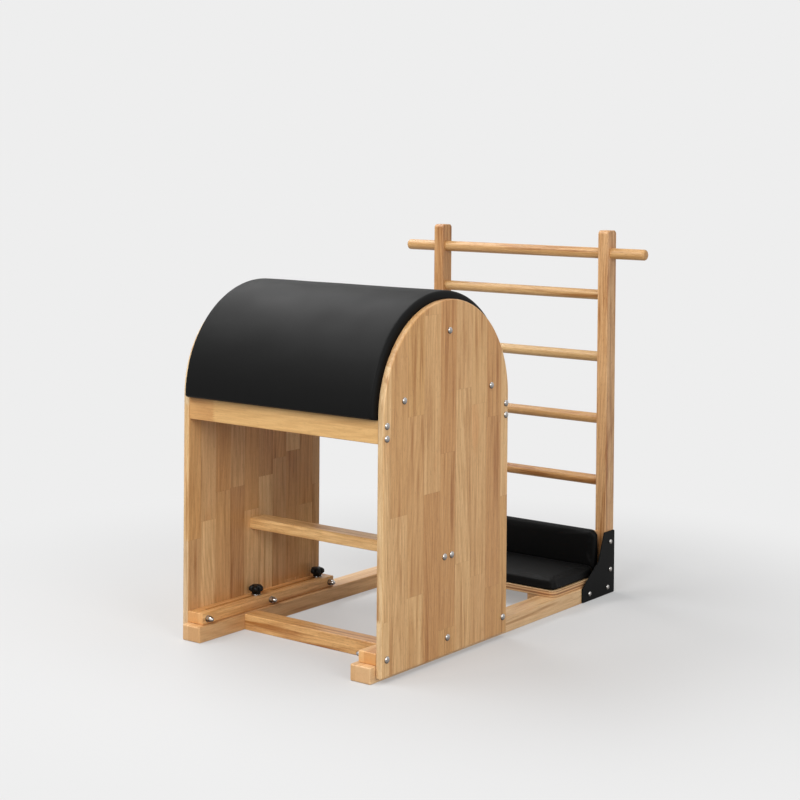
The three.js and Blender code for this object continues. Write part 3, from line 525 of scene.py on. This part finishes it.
leather_look, tree = blank_material("black_leatherette")
place = add(tree, "ShaderNodeTexCoord").outputs["Object"]
pebble = add(tree, "ShaderNodeTexVoronoi", {"Vector": place, "Scale": 900}).outputs["Distance"]
height = reckon(tree, "MULTIPLY_ADD", cloudy(tree, place, 260, 3), 0.6, pebble)
cloud = cloudy(tree, place, 9, 2)
colour = blended(tree, cloud, (0.0005, 0.0005, 0.0005, 1), (0.001, 0.001, 0.0009, 1))
surfaced(tree, colour, spread(tree, cloud, 0.2, 0.8, 0.52, 0.57), height, 0.12, 0.0003, specular=0.115)

skin_length = math.pi * pad_crown_radius + 2 * leg
rows = marks(skin_length, hem_rounding, skin_pitch)
columns = marks(pad_width, side_rounding, skin_pitch)
rows = rows[:1] + rows + rows[-1:]
columns = columns[:1] + columns + columns[-1:]
points, held = [], []
for row, along in enumerate(rows):
    for column, across in enumerate(columns):
        border = row in (0, len(rows) - 1) or column in (0, len(columns) - 1)
        rise = swelling(min(along, skin_length - along), hem_rounding)
        rise *= swelling(min(across, pad_width - across), side_rounding)
        if border or rise == 0:
            held.append(len(points))
        radius = pad_inner_radius if border else pad_edge_radius + (pad_crown_radius - pad_edge_radius) * rise
        points.append(on_arch(across - pad_width / 2, along, radius))
wide = len(columns)
faces = []
for here in range(len(points) - wide):
    if here % wide < wide - 1:
        faces.append((here, here + 1, here + wide + 1, here + wide))
mesh = bpy.data.meshes.new("barrel_skin")
mesh.from_pydata(points, [], faces)
skin = link_object("barrel_skin", mesh)
puffed(skin, held, pad_swell)
# Faint waves in the tight cover, and short pulls above the hems.
cover = [vertex.co.copy() for vertex in mesh.vertices]
bpy.data.objects.remove(skin)
for index in set(range(len(points))) - set(held):
    along, across = rows[index // wide], columns[index % wide]
    from_hem = min(along, skin_length - along)
    from_side = min(across, pad_width - across)
    wave = noise.noise(Vector((across * 7, along * 16, 3.1))) * wave_height
    pull = noise.noise(Vector((across * 45, along * 6, 8.4))) * pull_height
    pull *= math.exp(-from_hem / pull_length)
    outward = (cover[index] - Vector((cover[index].x, *arch_centre))).normalized()
    cover[index] += outward * (wave + pull) * min(from_hem / calm_edge, from_side / calm_edge, 1)
# The inner side runs straight from edge to edge.
last = len(points) - wide
under = [(left, left + wide - 1, left + 2 * wide - 1, left + wide) for left in range(wide, last - wide, wide)]
under.append((*range(wide), 2 * wide - 1, wide))
under.append((*range(last, last + wide), last - 1, last - wide))
barrel_cushion = mesh_piece("barrel_cushion", cover, faces + under, leather_look, sharp=75)
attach(barrel_cushion, "barrel")
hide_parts("barrel_pad")

# The cleats are rubberwood bars along the foot of each panel, bolted to its inner side. They lie on
# the floor beams, and the knobs' slots run in them.
cleat_look = rubberwood("cleat_rubberwood", "XZY", 52.0, (0.95, 0.6, 0.27, 1), (0.85, 0.465, 0.175, 1),
                        russet, stave_width=0.0654, stave_length=0.7, figure=1.2)
dress(cleat_look, "right_cleat", "left_cleat")

# The floor beams are two bars glued side by side, and the front and rear crossbeams join them.
# Two battens stand on the beams' inner sides under the foot board.
beam_look = bar_wood("beam", "XZY", 171.26, (0.88, 0.61, 0.34, 1), (0.74, 0.45, 0.21, 1),
                     width=0.0439, start=0.6, figure=0.9)
crossbeam_look = bar_wood("crossbeam", "YZX", 209.3, (0.93, 0.59, 0.26, 1), (0.84, 0.48, 0.19, 1),
                          width=0.12, start=0.6, figure=1.6)
dress(beam_look, "right_beam", "left_beam", "right_batten", "left_batten")
dress(crossbeam_look, "front_crossbeam", "rear_crossbeam")

# The ladder's uprights are solid rubberwood posts with eased edges and round tops. They stand on
# the rear ends of the floor beams.
upright_look = bar_wood("upright", "XYZ", 148.0, (0.83, 0.535, 0.28, 1), (0.53, 0.275, 0.11, 1),
                        width=0.11, start=0.1, figure=1.6)
dress(upright_look, "right_upright", "left_upright")

# The rungs are turned dowels glued into the uprights. The top rung runs through them and has
# rounded ends.


def settled(piece):
    """The mesh of a piece with its modifiers applied. The piece itself goes."""
    bpy.context.view_layer.update()
    mesh = bpy.data.meshes.new_from_object(piece.evaluated_get(bpy.context.evaluated_depsgraph_get()))
    bpy.data.objects.remove(piece)
    return mesh


def grown(name, tree, places, attributes, values, *materials, sharp=40):
    """A piece that a Geometry Nodes tree makes on points, turned into a plain closed mesh."""
    mesh = bpy.data.meshes.new(name + "_places")
    mesh.from_pydata(places, [], [])
    for key, numbers in attributes.items():
        mesh.attributes.new(key, "FLOAT", "POINT").data.foreach_set("value", numbers)
    holder = link_object(name + "_places", mesh)
    modifier = holder.modifiers.new(name, "NODES")
    modifier.node_group = tree
    for item in tree.interface.items_tree:
        if item.in_out == "INPUT" and item.name in values:
            modifier[item.identifier] = values[item.name]
    made = settled(holder)
    points = [vertex.co.copy() for vertex in made.vertices]
    faces = [tuple(face.vertices) for face in made.polygons]
    return mesh_piece(name, points, faces, *materials, sharp=sharp)


def new_geometry_tree(name, inputs):
    """An empty Geometry Nodes tree that takes points and further inputs and gives geometry."""
    inputs = (("Geometry", "NodeSocketGeometry", None), *inputs)
    return new_group(name, inputs, (("Geometry", "NodeSocketGeometry"),), kind="GeometryNodeTree")


def turned(tree, count, along, radius, steps):
    """A solid turned about X: along and radius are fields of the point number on its profile."""
    line = add(tree, "GeometryNodeCurvePrimitiveLine", {"Start": (0, 0, 0), "End": (1, 0, 0)})
    profile = add(tree, "GeometryNodeResampleCurve", {"Curve": line.outputs[0], "Count": count}).outputs[0]
    place = add(tree, "ShaderNodeCombineXYZ", {0: along}).outputs[0]
    profile = add(tree, "GeometryNodeSetPosition", {"Geometry": profile, "Position": place}).outputs[0]
    circle = add(tree, "GeometryNodeCurvePrimitiveCircle", {"Resolution": steps, "Radius": 1.0}).outputs[0]
    inputs = {"Curve": profile, "Profile Curve": circle, "Scale": radius, "Fill Caps": True}
    return add(tree, "GeometryNodeCurveToMesh", inputs).outputs[0]


def finished(tree, geometry, given, result):
    """Ends a Geometry Nodes tree: its instances are made real and get their material."""
    real = add(tree, "GeometryNodeRealizeInstances", {"Geometry": geometry}).outputs[0]
    inputs = {"Geometry": real, "Material": given["Material"]}
    tree.links.new(add(tree, "GeometryNodeSetMaterial", inputs).outputs[0], result.inputs[0])


dowel_tree, given, result = new_geometry_tree("dowels", (
    ("Length", "NodeSocketFloat", 0.5554), ("Radius", "NodeSocketFloat", 0.014),
    ("Rounding", "NodeSocketFloat", 0.001), ("Material", "NodeSocketMaterial", None)))
tree = dowel_tree
number = add(tree, "GeometryNodeInputIndex").outputs[0]
# Eight points round over each end, and the straight part lies between the two middle ones.
end_points = 8
last_point = 2 * end_points - 1
from_end = reckon(tree, "MINIMUM", number, reckon(tree, "SUBTRACT", last_point, number))
angle = reckon(tree, "MULTIPLY", from_end, math.pi / 2 / (end_points - 1))
inset = reckon(tree, "SUBTRACT", 1.0, reckon(tree, "SINE", angle))
inset = reckon(tree, "MULTIPLY", given["Rounding"], inset)
drawn_in = reckon(tree, "SUBTRACT", 1.0, reckon(tree, "COSINE", angle))
drawn_in = reckon(tree, "MULTIPLY", given["Rounding"], drawn_in)
end_side = reckon(tree, "SIGN", reckon(tree, "SUBTRACT", number, last_point / 2))
reach = reckon(tree, "SUBTRACT", reckon(tree, "MULTIPLY", given["Length"], 0.5), drawn_in)
reach = reckon(tree, "MULTIPLY", end_side, reach)
dowel = turned(tree, 2 * end_points, reach, reckon(tree, "SUBTRACT", given["Radius"], inset), 48)
inputs = {"Points": given["Geometry"], "Instance": dowel}
finished(tree, add(tree, "GeometryNodeInstanceOnPoints", inputs).outputs[0], given, result)

rung_line = 0.521
rung_heights = (0.3085, 0.4795, 0.6505, 0.8215)
top_rung_height = 0.9365
rung_look = bar_wood("rung", "ZYX", 1387.0, (0.62, 0.41, 0.19, 1), (0.64, 0.35, 0.133, 1),
                     width=0.115, start=0.5, figure=1.4, length=1.0)
rungs = grown("rungs", dowel_tree, [(0, rung_line, height) for height in rung_heights], {},
              {"Length": 0.5554, "Radius": 0.014, "Rounding": 0.001, "Material": rung_look}, rung_look)
top_rung = grown("top_rung_dowel", dowel_tree, [(0, rung_line, top_rung_height)], {},
                 {"Length": 0.804, "Radius": 0.015, "Rounding": 0.008, "Material": rung_look}, rung_look)
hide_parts("rung_1", "rung_2", "rung_3", "rung_4")
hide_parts("top_rung")
for piece in (rungs, top_rung):
    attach(piece, "base")

# The foot board is thick plywood that lies on the battens. The back board behind the upright
# cushion is thin plywood.
dress(plywood("board_plywood", "XZY", 0.0042), "foot_board")
dress(plywood("back_plywood", "XYZ", 0.0013), "back_board")

# The foot rest's two cushions are foam in the same leatherette. The seat's cushion is boxed, with
# a soft ridge round its crowned top, and the back's has a flat face and round upper corners.


def cushion_rings(width, depth, height, ridge, corner, profile):
    """Closed rings of a cushion that lies flat: inset and height shares make its side and its crown."""
    rings = []
    for inset_share, height_share in profile:
        inset = ridge * inset_share
        radius = max(corner - inset, 0.003)
        half_x, half_y = width / 2 - inset - radius, depth / 2 - inset - radius
        ring = []
        for quarter, (x_side, y_side) in enumerate(((1, 1), (-1, 1), (-1, -1), (1, -1))):
            bend = arc((half_x * x_side, half_y * y_side), radius, 90 * quarter, 90 * quarter + 90, 8)
            ring += [(point.x, point.y, height * height_share) for point in bend]
        rings.append(ring)
    return rings


def soft_box(name, profile, width, depth, height, ridge, corner, place, held_height, cap, upright=False):
    """A cushion: remeshed, swollen as cloth where it isn't held to its board, and smoothed."""
    rings = cushion_rings(width, depth, height, ridge, corner, profile)
    points = [point for ring in rings for point in ring]
    rough = mesh_piece(name + "_form", points, capped_strips(len(rings), len(rings[0])))
    remesh = rough.modifiers.new("even", "REMESH")
    remesh.mode = "VOXEL"
    remesh.voxel_size = 0.0039
    relax = rough.modifiers.new("relax", "SMOOTH")
    relax.factor, relax.iterations = 0.5, 4
    piece = link_object(name, settled(rough))
    held = [vertex.index for vertex in piece.data.vertices if vertex.co.z < held_height]
    puffed(piece, held, cap)
    fine = piece.modifiers.new("fine", "SUBSURF")
    fine.levels = fine.render_levels = 1
    mesh = settled(piece)
    # An upright cushion turns its top to the front.
    if upright:
        mesh.transform(Matrix(((1, 0, 0, 0), (0, 0, -1, 0), (0, 1, 0, 0), (0, 0, 0, 1))))
    mesh.transform(Matrix.Translation(place))
    mesh.shade_smooth()
    mesh.materials.clear()
    mesh.materials.append(leather_look)
    return link_object(name, mesh)


# The profiles give insets in ridge widths and heights in shares, from the foot to the crown.
ridge_steps = 9
ridge_turn = [math.pi / 2 * step / ridge_steps for step in range(ridge_steps + 1)]
seat_profile = [(0.1, 0), (0.03, 0.08), (0, 0.25), (0, 0.45)]
seat_profile += [(1 - math.cos(turn), 0.62 + 0.3 * math.sin(turn)) for turn in ridge_turn]
seat_profile += [(2.0, 0.945), (4.0, 0.965), (8.0, 0.985)]
seat = soft_box("seat_cushion", seat_profile, width=0.568, depth=0.2164, height=0.0292, ridge=0.008,
                corner=0.016, place=(0, 0.3589, 0.0568), held_height=0.0045, cap=0.0028)
back_profile = [(0.1, 0), (0.03, 0.08), (0, 0.25)]
back_profile += [(1 - math.cos(turn), 0.35 + 0.6 * math.sin(turn)) for turn in ridge_turn]
back_profile += [(2.0, 0.965), (5.0, 0.985)]
back = soft_box("back_cushion", back_profile, width=0.559, depth=0.1212, height=0.0188, ridge=0.009,
                corner=0.021, place=(0, 0.4887, 0.1183), held_height=0.0035, cap=0.0014, upright=True)
for piece, node, fill in ((seat, "seat_pad", 0.9), (back, "back_pad", 0.95)):
    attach(piece, "base")
    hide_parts(node)

# Powder-coated steel corner plates, cut from sheet, hold the uprights to the floor beams with
# four bolts each.
coat_look, tree = blank_material("black_powder_coat")
place = add(tree, "ShaderNodeTexCoord").outputs["Object"]
speckle = cloudy(tree, place, 1400, 2)
colour = blended(tree, cloudy(tree, place, 25, 3), (0.002, 0.002, 0.002, 1), (0.004, 0.004, 0.004, 1))
surfaced(tree, colour, spread(tree, speckle, 0.3, 0.7, 0.44, 0.58), speckle, 0.3, 0.0002, specular=0.07)

plate_corners = ((0.168, 0.001), (0, 0.001), (0, 0.173), (0.054, 0.173), (0.084, 0.097), (0.168, 0.039))
plate_corner_radius, plate_rounding = 0.005, 0.0006
plate_inner, plate_outer = 0.2953, 0.2983
frame_rear = 0.5435


def rounded_corners(corners, radius, steps=6):
    """A closed outline with an arc in place of each corner."""
    outline = []
    for index, here in enumerate(corners):
        before = (corners[index - 1] - here).normalized()
        after = (corners[(index + 1) % len(corners)] - here).normalized()
        half = before.angle(after) / 2
        start, end = here + before * radius / math.tan(half), here + after * radius / math.tan(half)
        for step in range(steps + 1):
            share = step / steps
            middle = start.lerp(here, share).lerp(here.lerp(end, share), share)
            outline.append(middle)
    return outline


plate_corners = [Vector((frame_rear - reach, height)) for reach, height in plate_corners]
plate_outline = rounded_corners(plate_corners, plate_corner_radius)
for side, name in ((1, "right_corner_plate"), (-1, "left_corner_plate")):
    low, high = sorted((side * plate_inner, side * plate_outer))
    plate = rounded_plate(name + "_steel", plate_outline, low, high, plate_rounding, coat_look, steps=3)
    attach(plate, "base")
    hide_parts(name)

# Nickel-plated bolts with domed heads hold the frame together. Those through the cleats and the
# formers end in a washer and an acorn nut.
nickel_look, tree = blank_material("nickel_plate")
source = add(tree, "ShaderNodeTexCoord").outputs
blush = cloudy(tree, source["Object"], 180, 3)
scuff = cloudy(tree, source["Object"], 1500, 2)
up = add(tree, "ShaderNodeSeparateXYZ", {0: source["Normal"]}).outputs[2]
metal = blended(tree, blush, (0.42, 0.40, 0.38, 1), (0.56, 0.54, 0.52, 1))
# Painted shade: the metal is multiplied darker where its surface faces down, standing in for the dark
# surroundings that the heads' lower sides would reflect.
metal = blended(tree, spread(tree, up, -0.5, 0.35, 0.85, 0.0), metal, (0.2, 0.17, 0.15, 1), "MULTIPLY")
surfaced(tree, metal, spread(tree, blush, 0.3, 0.7, 0.14, 0.24), scuff, 0.08, 0.0002, metallic=1)

bolt_tree, given, result = new_geometry_tree("domed_bolts", (
    ("Head Radius", "NodeSocketFloat", 0.0082), ("Head Height", "NodeSocketFloat", 0.0046),
    ("Rim", "NodeSocketFloat", 0.0012), ("Shank Radius", "NodeSocketFloat", 0.0038),
    ("Shank Length", "NodeSocketFloat", 0.04), ("Washer Radius", "NodeSocketFloat", 0.0082),
    ("Washer Thickness", "NodeSocketFloat", 0.002), ("Nut Width", "NodeSocketFloat", 0.014),
    ("Nut Height", "NodeSocketFloat", 0.0075), ("Cap Radius", "NodeSocketFloat", 0.0066),
    ("Cap Height", "NodeSocketFloat", 0.0105), ("Material", "NodeSocketMaterial", None)))
tree = bolt_tree
dome_points = 16


def dome(radius, height, rim, start, way):
    """A short rim and a dome on it, along X from start, one way or the other."""
    number = add(bolt_tree, "GeometryNodeInputIndex").outputs[0]
    on_rim = reckon(bolt_tree, "MINIMUM", number, 1.0)
    past_rim = reckon(bolt_tree, "MAXIMUM", reckon(bolt_tree, "SUBTRACT", number, 1.0), 0.0)
    angle = reckon(bolt_tree, "MULTIPLY", past_rim, math.pi / 2 / (dome_points - 2))
    domed = reckon(bolt_tree, "SUBTRACT", height, rim)
    domed = reckon(bolt_tree, "MULTIPLY", domed, reckon(bolt_tree, "SINE", angle))
    along = reckon(bolt_tree, "MULTIPLY_ADD", rim, on_rim, domed)
    along = reckon(bolt_tree, "MULTIPLY_ADD", along, way, start)
    width = reckon(bolt_tree, "MAXIMUM", reckon(bolt_tree, "COSINE", angle), 0.02)
    return turned(bolt_tree, dome_points, along, reckon(bolt_tree, "MULTIPLY", radius, width), 40)


def rod(radius, start, end, sides):
    """A round or many-sided rod along X from start to end."""
    number = add(bolt_tree, "GeometryNodeInputIndex").outputs[0]
    inputs = {"Factor": number, "A": start, "B": end}
    along = add(bolt_tree, "ShaderNodeMix", inputs, data_type="FLOAT").outputs[0]
    return turned(bolt_tree, 2, along, radius, sides)


def on_points(points, parts, rotation):
    """The joined parts on every point, each turned by the point's own rotation."""
    joined = add(bolt_tree, "GeometryNodeJoinGeometry")
    for part in parts:
        bolt_tree.links.new(part, joined.inputs[0])
    inputs = {"Points": points, "Instance": joined.outputs[0], "Rotation": rotation}
    return add(bolt_tree, "GeometryNodeInstanceOnPoints", inputs).outputs[0]


facing = add(tree, "GeometryNodeInputNamedAttribute", {"Name": "turn"}, data_type="FLOAT").outputs[0]
stack = add(tree, "GeometryNodeInputNamedAttribute", {"Name": "stack"}, data_type="FLOAT").outputs[0]
rotation = add(tree, "ShaderNodeCombineXYZ", {2: facing}).outputs[0]
rotation = add(tree, "FunctionNodeEulerToRotation", {0: rotation}).outputs[0]
head = dome(given["Head Radius"], given["Head Height"], given["Rim"], 0.0, 1.0)
shank_end = reckon(tree, "MULTIPLY", given["Shank Length"], -1.0)
shank = rod(given["Shank Radius"], shank_end, 0.0, 24)
heads = on_points(given["Geometry"], (head, shank), rotation)
inward = reckon(tree, "MULTIPLY", reckon(tree, "MULTIPLY", stack, -1.0), reckon(tree, "COSINE", facing))
inward = add(tree, "ShaderNodeCombineXYZ", {0: inward}).outputs[0]
inputs = {0: given["Geometry"], 1: reckon(tree, "GREATER_THAN", stack, 0.0)}
nut_places = add(tree, "GeometryNodeSeparateGeometry", inputs, domain="POINT").outputs[0]
nut_places = add(tree, "GeometryNodeSetPosition", {"Geometry": nut_places, "Offset": inward}).outputs[0]
washer_end = reckon(tree, "MULTIPLY", given["Washer Thickness"], -1.0)
nut_end = reckon(tree, "SUBTRACT", washer_end, given["Nut Height"])
corner_radius = reckon(tree, "DIVIDE", given["Nut Width"], math.sqrt(3))
nuts = on_points(nut_places, (
    rod(given["Washer Radius"], 0.0, washer_end, 32), rod(corner_radius, washer_end, nut_end, 6),
    dome(given["Cap Radius"], given["Cap Height"], 0.0005, nut_end, -1.0)), rotation)
both = add(tree, "GeometryNodeJoinGeometry")
for part in (heads, nuts):
    tree.links.new(part, both.inputs[0])
finished(tree, both.outputs[0], given, result)

# Each kind has the thickness of wood up to its nut, or none, and its places from the barrel's
# front and the floor.
bolt_face = 0.3143
bolt_kinds = (
    ("apron_bolt", 0, ((0.012, 0.587), (0.012, 0.558), (0.496, 0.587), (0.496, 0.558))),
    ("stretcher_bolt", 0, ((0.2395, 0.249), (0.2685, 0.249))),
    ("former_bolt", 0.0369, ((0.0767, 0.638), (0.254, 0.787), (0.4313, 0.638))),
    ("cleat_bolt", 0.0686, ((0.018, 0.0533), (0.254, 0.0533), (0.490, 0.0533))),
)
places, turns, stacks, stood_for = [], [], [], []
for side, word in ((1, "right"), (-1, "left")):
    for kind, distance, spots in bolt_kinds:
        for number, (depth, height) in enumerate(spots, start=1):
            places.append((side * bolt_face, barrel_front + depth, height))
            turns.append(0 if side > 0 else math.pi)
            stacks.append(distance)
            stood_for.append(f"{word}_{kind}_{number}")
barrel_bolts = grown("barrel_bolts", bolt_tree, places, {"turn": turns, "stack": stacks},
                     {"Material": nickel_look}, nickel_look)
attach(barrel_bolts, "barrel")
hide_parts(*stood_for)

plate_spots = ((0.0225, 0.143), (0.0225, 0.067), (0.036, 0.020), (0.131, 0.020))
places, turns = [], []
for side in (1, -1):
    for reach, height in plate_spots:
        places.append((side * plate_outer, frame_rear - reach, height))
        turns.append(0 if side > 0 else math.pi)
plate_bolts = grown("plate_bolts", bolt_tree, places, {"turn": turns, "stack": [0.0] * len(places)},
                    {"Head Radius": 0.0065, "Head Height": 0.004, "Rim": 0.001, "Shank Radius": 0.003,
                     "Shank Length": 0.02, "Material": nickel_look}, nickel_look)
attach(plate_bolts, "base")
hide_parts("right_corner_plate", "left_corner_plate")

# Each moulded star knob has five round lobes, a tapered hub and a domed top. It clamps a washer
# on the cleat with a stud that runs through the slot into the beam.
knob_look, tree = blank_material("black_knob_plastic")
place = add(tree, "ShaderNodeTexCoord").outputs["Object"]
rub = cloudy(tree, place, 90, 3)
colour = blended(tree, rub, (0.004, 0.004, 0.004, 1), (0.007, 0.007, 0.007, 1))
grit = cloudy(tree, place, 1800, 1)
surfaced(tree, colour, spread(tree, rub, 0.3, 0.7, 0.36, 0.5), grit, 0.2, 0.0002, specular=0.2)

knob_line, front_knob_row, rear_knob_row = 0.271, -0.2985, -0.0545
knob_foot = 0.0676
knob_lobes, lobe_depth, knob_steps = 5, 0.0045, 80
# The profiles give heights above the cleat, radii, and how much of the lobes stands out there.
knob_hub = ((0.0022, 0.0095, 0), (0.0022, 0.0108, 0), (0.0030, 0.0112, 0), (0.0064, 0.0113, 0),
            (0.0080, 0.0117, 0.2), (0.0095, 0.0127, 0.5), (0.0110, 0.0140, 0.8), (0.0130, 0.0150, 1),
            (0.0160, 0.0153, 1.05), (0.0195, 0.0151, 1), (0.0218, 0.0143, 0.9), (0.0236, 0.0127, 0.7),
            (0.0249, 0.0104, 0.5), (0.0257, 0.0074, 0.25), (0.0260, 0.0040, 0.1))
knob_metal = ((-0.0480, 0.0030, 0), (-0.0474, 0.0037, 0), (0.0002, 0.0037, 0), (0.0002, 0.0122, 0),
              (0.0005, 0.0128, 0), (0.0016, 0.0130, 0), (0.0021, 0.0127, 0), (0.0021, 0.0040, 0))


def spun(profile, x, y, turn):
    """Points and faces of a shape turned about an upright line, with lobes where its profile says."""
    points = []
    for height, radius, share in profile:
        for step in range(knob_steps):
            angle = math.tau * step / knob_steps
            lobe = abs(math.cos(knob_lobes * (angle - turn) / 2)) ** 0.7 * 2 - 1.1
            reach = radius + lobe_depth * share * lobe
            points.append((x + reach * math.cos(angle), y + reach * math.sin(angle), knob_foot + height))
    return points, capped_strips(len(profile), knob_steps)


for node, x, y, turn in (
    ("right_front_knob", knob_line, front_knob_row, 0.2), ("right_rear_knob", knob_line, rear_knob_row, 0.9),
    ("left_front_knob", -knob_line, front_knob_row, 0.33), ("left_rear_knob", -knob_line, rear_knob_row, 0.6),
):
    for suffix, profile, look in (("head", knob_hub, knob_look), ("stud", knob_metal, nickel_look)):
        points, faces = spun(profile, x, y, turn)
        knob = mesh_piece(f"{node}_{suffix}", points, faces, look, sharp=50)
        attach(knob, node)
        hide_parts(node)
